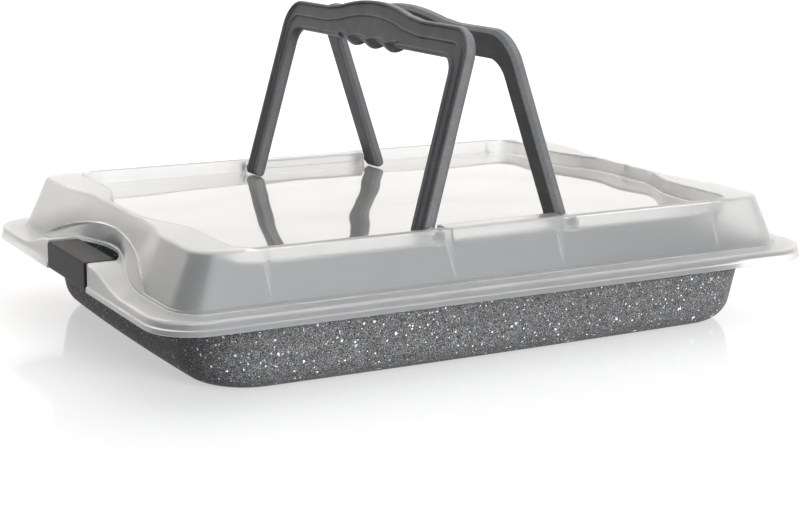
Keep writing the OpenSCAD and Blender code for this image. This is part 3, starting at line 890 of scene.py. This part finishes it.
def section(o, no, i, ni, foot, lobe_y):
    """Cross-section: points (x, y, z) from the rear over the outer side, the front and the inner side.

    o and i are the points on the outer and inner edge, no and ni the directions inward from them.
    """
    thin = math.cos(foot) ** FOOT_THIN
    rib = RIB_LEG + (RIB_BAR - RIB_LEG) * float(smooth((o[1] - RIB_FROM) / RIB_FADE))
    points = []

    def put(base, n, d, x):
        p = base + n * d
        points.append((x * thin, p[0], p[1]))

    # Distances inward from the inner edge at the rear, at the front and at the rim, and the side's roundness
    rear = 0.0
    front = 0.0
    brim = BRIM
    draft = 1.0
    if lobe_y is not None and abs(lobe_y) <= LOBES_Y:
        u = across(lobe_y)
        v = (1 - abs(u)) * LOBE_W / 2
        rear = -(CUSP_DEPTH + LOBE_D * (1 - u * u))
        front = SCOOP_UP - SCOOP_R + math.sqrt(SCOOP_R * SCOOP_R - v * v)
        brim = front + SCOOP_BRIM
        draft = SCOOP_DRAFT
    for d, x in SIDE:
        put(o, no, d, x)
    for d, deep in OUTER_RIM + [(rib + d, deep) for d, deep in RIB]:
        put(o, no, d, -HALF_T + deep)
    for d, deep in INNER_RIM:
        put(i, ni, brim + d, -HALF_T + deep)
    for d, x in reversed(SIDE):
        f = (x + HALF_T) / (2 * HALF_T)
        put(i, ni, front + (rear - front) * f + d * draft, x)
    # flat rear face
    a = i + ni * (rear + REAR_IN)
    b = o + no * REAR_IN
    for f in (0, 0.5, 1):
        put(a, b - a, f, HALF_T)
    return np.array(points)


def pins():
    """The two hinge pins, with chamfered tips."""
    profile = ((LEG_Y - 1, PIN_R), (LEG_Y + PIN_LEN - PIN_TIP, PIN_R), (LEG_Y + PIN_LEN, PIN_R - PIN_TIP))
    parts = []
    for s in (1, -1):
        rings = [np.array([(a, s * y, b) for a, b in circle(0, 0, r)]) for y, r in profile]
        parts.append(capped(rings))
    return joined(parts)


def build_handle(side):
    rows = half_stations()
    back = rows[-2::-1]
    outer = [r[0] for r in rows] + [(-r[0][0], r[0][1]) for r in back]
    inner = [r[1] for r in rows] + [(-r[1][0], r[1][1]) for r in back]
    feet = [r[2] for r in rows + back]
    lobes = [r[3] for r in rows + back]
    outer_in = normals(outer)
    inner_in = -normals(inner)
    sections = []
    for o, no, i, ni, foot, lobe_y in zip(outer, outer_in, inner, inner_in, feet, lobes):
        sections.append(section(np.array(o), no, np.array(i), ni, foot, lobe_y))
    name = "handle_moulding_left" if side < 0 else "handle_moulding_right"
    handle = make(name, *capped(sections))
    outward(handle)
    combine(handle, pins(), "UNION")
    lean = Matrix.Rotation(LEAN_LEFT if side < 0 else LEAN_RIGHT, 4, "Y")
    handle.data.transform(Matrix.Translation((-PIVOT_X * MM, 0, PIVOT_Z * MM)) @ lean)
    if side > 0:
        handle.data.transform(Matrix.Diagonal((-1, 1, 1, 1)))
        handle.data.flip_normals()
    shade(handle, 40)
    return handle


# Materials

class Nodes:
    """Short way to make and join the nodes of one material."""

    def __init__(self, name):
        self.mat = bpy.data.materials.new(name)
        self.mat.use_nodes = True
        self.tree = self.mat.node_tree
        self.shader = self.tree.nodes["Principled BSDF"]
        self.place = self.add("ShaderNodeTexCoord").outputs["Object"]

    def add(self, kind, **values):
        node = self.tree.nodes.new(kind)
        for key, value in values.items():
            setattr(node, key, value)
        return node

    def fill(self, node, values):
        """Joins each input to a node's output or sets its value."""
        for key, value in values.items():
            if hasattr(value, "is_output"):
                self.tree.links.new(value, node.inputs[key])
            else:
                node.inputs[key].default_value = value
        return node

    def noise(self, scale, detail, rough):
        node = self.add("ShaderNodeTexNoise")
        self.fill(node, {"Vector": self.place, "Scale": scale, "Detail": detail, "Roughness": rough})
        return node.outputs["Fac"]

    def math(self, kind, a, b):
        return self.fill(self.add("ShaderNodeMath", operation=kind), {0: a, 1: b}).outputs[0]

    def span(self, value, lo, hi, out_lo=0.0, out_hi=1.0):
        node = self.add("ShaderNodeMapRange")
        self.fill(node, {"Value": value, "From Min": lo, "From Max": hi, "To Min": out_lo, "To Max": out_hi})
        return node.outputs["Result"]

    def mix(self, factor, a, b):
        return self.fill(self.add("ShaderNodeMix", data_type="RGBA"), {0: factor, 6: a, 7: b}).outputs[2]

    def bump(self, height, strength, distance):
        node = self.add("ShaderNodeBump")
        self.fill(node, {"Height": height, "Strength": strength, "Distance": distance})
        return node.outputs["Normal"]

    def set(self, **values):
        for key, value in values.items():
            self.fill(self.shader, {key.replace("_", " "): value})


def grey(v, tint=(1.0, 1.0, 1.0)):
    return (v * tint[0], v * tint[1], v * tint[2], 1.0)


# Flecks in three sizes: cells per metre, share of the cells with a fleck, and the largest radius in a cell
FLECKS = ((170.0, 0.2, 0.25), (330.0, 0.3, 0.3), (620.0, 0.36, 0.34))
FLECK_EDGE = 0.07
FLECK_WARP = 0.0011
FLECK_BUMP = 0.6
FLECK_GREY = grey(0.95)
COATING_SHADE = grey(0.015)


def granite(name, dark, light):
    """Speckled non-stick coating."""
    n = Nodes(name)
    # uneven outlines for the flecks
    warp = n.add("ShaderNodeTexNoise")
    n.fill(warp, {"Vector": n.place, "Scale": 900.0, "Detail": 1.0})
    shift = n.add("ShaderNodeVectorMath", operation="SCALE")
    n.fill(shift, {0: warp.outputs["Color"], "Scale": FLECK_WARP})
    bent = n.add("ShaderNodeVectorMath", operation="ADD")
    n.fill(bent, {0: n.place, 1: shift.outputs[0]})
    total = None
    for scale, share, size in FLECKS:
        cell = n.add("ShaderNodeTexVoronoi")
        n.fill(cell, {"Vector": bent.outputs[0], "Scale": scale})
        split = n.add("ShaderNodeSeparateColor")
        n.fill(split, {0: cell.outputs["Color"]})
        radius = n.span(split.outputs[0], 1 - share, 1.0, 0.0, size)
        fleck = n.span(n.math("SUBTRACT", radius, cell.outputs["Distance"]), 0.0, FLECK_EDGE)
        fleck = n.math("MULTIPLY", fleck, n.span(split.outputs[1], 0.0, 1.0, 0.3, 1.0))
        total = fleck if total is None else n.math("MAXIMUM", total, fleck)
    grain = n.noise(1500.0, 2.0, 0.7)
    cloud = n.noise(260.0, 3.0, 0.6)
    base = n.mix(n.span(grain, 0.42, 0.72), dark, light)
    base = n.mix(n.span(cloud, 0.35, 0.75, 0.0, 0.5), base, COATING_SHADE)
    n.set(Base_Color=n.mix(total, base, FLECK_GREY), Roughness=n.span(grain, 0.3, 0.8, 0.5, 0.62))
    n.set(Specular_IOR_Level=0.16)
    n.set(Normal=n.bump(n.math("ADD", grain, n.math("MULTIPLY", total, FLECK_BUMP)), 0.25, 0.00012))
    return n.mat


def frosted(name, rough, coat, coat_rough, coat_ior, wave_depth):
    """Milky see-through plastic; the recess floor is polished and the rest is satin."""
    n = Nodes(name)
    wave = n.noise(15.0, 0.0, 0.4)
    swirl = n.noise(60.0, 2.0, 0.5)
    colour = n.mix(n.span(swirl, 0.3, 0.7), (0.92, 0.915, 0.905, 1), (0.95, 0.945, 0.935, 1))
    n.set(Base_Color=colour, Roughness=n.span(swirl, 0.3, 0.7, rough, rough + 0.04), IOR=1.49)
    n.set(Transmission_Weight=0.92, Specular_IOR_Level=0.5)
    n.set(Coat_Weight=coat, Coat_Roughness=coat_rough, Coat_IOR=coat_ior)
    low = n.bump(wave, 1.0, wave_depth)
    n.set(Normal=low, Coat_Normal=low)
    return n.mat


def dark_plastic():
    n = Nodes("grained_handle_plastic")
    cool = (1.0, 1.0, 1.02)
    grain = n.noise(1300.0, 2.0, 0.6)
    patch = n.noise(90.0, 3.0, 0.6)
    colour = n.mix(n.span(grain, 0.35, 0.7), grey(0.068, cool), grey(0.105, cool))
    colour = n.mix(n.span(patch, 0.35, 0.7, 0.0, 0.3), colour, grey(0.05))
    n.set(Base_Color=colour, Roughness=n.span(patch, 0.3, 0.7, 0.42, 0.52), Specular_IOR_Level=0.35)
    n.set(Normal=n.bump(grain, 0.35, 0.0001))
    return n.mat


def rubber():
    n = Nodes("grip_silicone")
    grain = n.noise(2200.0, 2.0, 0.6)
    patch = n.noise(70.0, 3.0, 0.6)
    colour = n.mix(n.span(patch, 0.3, 0.7), grey(0.012), grey(0.018))
    n.set(Base_Color=colour, Roughness=n.span(grain, 0.3, 0.7, 0.38, 0.46), Specular_IOR_Level=0.1)
    n.set(Normal=n.bump(grain, 0.2, 0.00006))
    return n.mat


def floor_paint():
    n = Nodes("studio_floor")
    soft = n.noise(3.0, 2.0, 0.5)
    n.set(Base_Color=n.mix(soft, grey(0.29), grey(0.31)), Roughness=0.08, IOR=1.2)
    n.set(Emission_Color=grey(1.0), Emission_Strength=0.5)
    return n.mat


def dress(obj, mat, slot, body, *nodes):
    obj.data.materials.clear()
    obj.data.materials.append(mat)
    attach(obj, body)
    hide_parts(*nodes)


# Pieces

# The base's top counts as inside below this share of the pan's height
BASE_SHARE = 0.7

plastic = dark_plastic()
silicone = rubber()
pan = build_pan()
outside = granite("granite_coating", grey(0.02, (1.0, 0.98, 0.95)), grey(0.3))
# Inside coating: a copy of the same granite with a darker, bluer ground, as painted shade and a painted cool
# cast for the pan's hollow under the lid
inside = granite("granite_coating_inside_painted_shade", grey(0.018, (0.8, 0.98, 1.1)), grey(0.22, (0.82, 0.98, 1.08)))
dress(pan, outside, "coated_steel", "pan_with_lid", "pan")
pan.data.materials.append(inside)
# Faces of the hollow, inward walls and the base's top, take the painted-shade copy
for face in pan.data.polygons:
    c = face.center
    inward = face.normal.x * c.x + face.normal.y * c.y < -0.001
    if inward or (face.normal.z > 0.5 and c.z < BASE_SHARE * PAN_H * MM):
        face.material_index = 1

lid = build_lid()
satin = frosted("satin_lid_plastic", 0.285, 0.35, 0.15, 1.5, 0.0006)
polished = frosted("polished_lid_plastic", 0.06, 1.0, 0.02, 1.8, 0.0016)
dress(lid, satin, "lid_plastic", "pan_with_lid", "lid")
lid.data.materials.append(polished)
for face in lid.data.polygons:
    c = face.center / MM
    if abs(c.z - FLOOR_TOP) < 0.3 and face.normal.z > 0.7:
        face.material_index = 1

dress(build_grip(-1), silicone, "silicone", "pan_with_lid", "grip_left")
dress(build_grip(1), silicone, "silicone", "pan_with_lid", "grip_right")
dress(build_handle(-1), plastic, "handle_plastic", "left_handle", "handle_left")
dress(build_handle(1), plastic, "handle_plastic", "right_handle", "handle_right")

# Studio: floor, sky, lights and camera

# Half the floor's width in metres, and the directions of the sky's brighter parts
FLOOR = 30
SKY_REAR = (0.35, 0.9, 0.25)
SKY_TOP = (0, 0, 1)
SKY_FRONT = (0.08, -1, 0.16)

floor = make("floor", [(-FLOOR, -FLOOR, 0), (FLOOR, -FLOOR, 0), (FLOOR, FLOOR, 0), (-FLOOR, FLOOR, 0)],
             [(0, 1, 2, 3)], 1)
floor.data.materials.append(floor_paint())
floor.visible_diffuse = False

world = bpy.data.worlds.new("studio")
scene.world = world
world.use_nodes = True
tree = world.node_tree
sky = tree.nodes["Background"]
place = tree.nodes.new("ShaderNodeTexCoord")


def glow(towards, turn, strength, easing):
    """A part of the sky that goes from one strength to another as the direction nears towards."""
    dot = tree.nodes.new("ShaderNodeVectorMath")
    dot.operation = "DOT_PRODUCT"
    dot.inputs[1].default_value = Vector(towards).normalized()
    tree.links.new(place.outputs["Generated"], dot.inputs[0])
    span = tree.nodes.new("ShaderNodeMapRange")
    span.interpolation_type = easing
    span.inputs["From Min"].default_value = turn[0]
    span.inputs["From Max"].default_value = turn[1]
    span.inputs["To Min"].default_value = strength[0]
    span.inputs["To Max"].default_value = strength[1]
    tree.links.new(dot.outputs["Value"], span.inputs["Value"])
    return span.outputs["Result"]


def plus(a, b):
    node = tree.nodes.new("ShaderNodeMath")
    tree.links.new(a, node.inputs[0])
    tree.links.new(b, node.inputs[1])
    return node.outputs[0]


rear = glow(SKY_REAR, (-0.25, 0.95), (0.05, 1.3), "SMOOTHSTEP")
top = glow(SKY_TOP, (0.2, 0.9), (0, 1.0), "SMOOTHSTEP")
front = glow(SKY_FRONT, (0.72, 0.95), (0, 2.6), "SMOOTHSTEP")
tree.links.new(plus(plus(rear, top), front), sky.inputs["Strength"])

# Cooler sky in front and warmer sky behind
tint = tree.nodes.new("ShaderNodeMix")
tint.data_type = "RGBA"
tint.inputs[6].default_value = (0.9, 0.96, 1.0, 1.0)
tint.inputs[7].default_value = (1.0, 0.975, 0.95, 1.0)
tree.links.new(glow(SKY_REAR, (-1, 1), (0, 1), "LINEAR"), tint.inputs[0])
tree.links.new(tint.outputs[2], sky.inputs["Color"])

sun = bpy.data.lights.new("top", "SUN")
sun.energy = 0.6
sun.angle = math.radians(50)
lamp = bpy.data.objects.new("top", sun)
lamp.rotation_euler = (math.radians(25), math.radians(20), 0)
scene.collection.objects.link(lamp)

# Soft lamp in front that only lights surfaces and is seen in none
BOX_AT = Vector((0.2, -1.6, 0.42))
BOX_AIM = Vector((0, 0, 0.08))

box_light = bpy.data.lights.new("front_box", "AREA")
box_light.shape = "RECTANGLE"
box_light.size = 0.7
box_light.size_y = 0.6
box_light.energy = 36
front_box = bpy.data.objects.new("front_box", box_light)
front_box.location = BOX_AT
front_box.rotation_euler = (BOX_AIM - BOX_AT).to_track_quat("-Z", "Y").to_euler()
front_box.visible_glossy = False
front_box.visible_transmission = False
scene.collection.objects.link(front_box)

# Camera as fitted to the photo: focal length in its pixels, place in metres, direction and roll
IMAGE_WIDTH = 800
FOCAL_PIXELS = 1727.4
SENSOR = 36
CAMERA_AT = Vector((-0.5054, -0.909, 0.2674))
CAMERA_AHEAD = Vector((0.4768, 0.8515, -0.2181)).normalized()
CAMERA_ROLL = math.radians(0.6)

camera = bpy.data.cameras.new("camera")
camera.sensor_width = SENSOR
camera.lens = FOCAL_PIXELS / IMAGE_WIDTH * SENSOR
camera.clip_start = 0.01
eye = bpy.data.objects.new("camera", camera)
scene.collection.objects.link(eye)
yaw = math.atan2(CAMERA_AHEAD.x, CAMERA_AHEAD.y)
level = Vector((math.cos(yaw), -math.sin(yaw), 0))
over = level.cross(CAMERA_AHEAD)
to_right = math.cos(CAMERA_ROLL) * level + math.sin(CAMERA_ROLL) * over
upward = -math.sin(CAMERA_ROLL) * level + math.cos(CAMERA_ROLL) * over
turned = Matrix((to_right, upward, -CAMERA_AHEAD)).transposed().to_4x4()
eye.matrix_world = Matrix.Translation(CAMERA_AT) @ turned
scene.camera = eye
scene.view_settings.view_transform = "Standard"
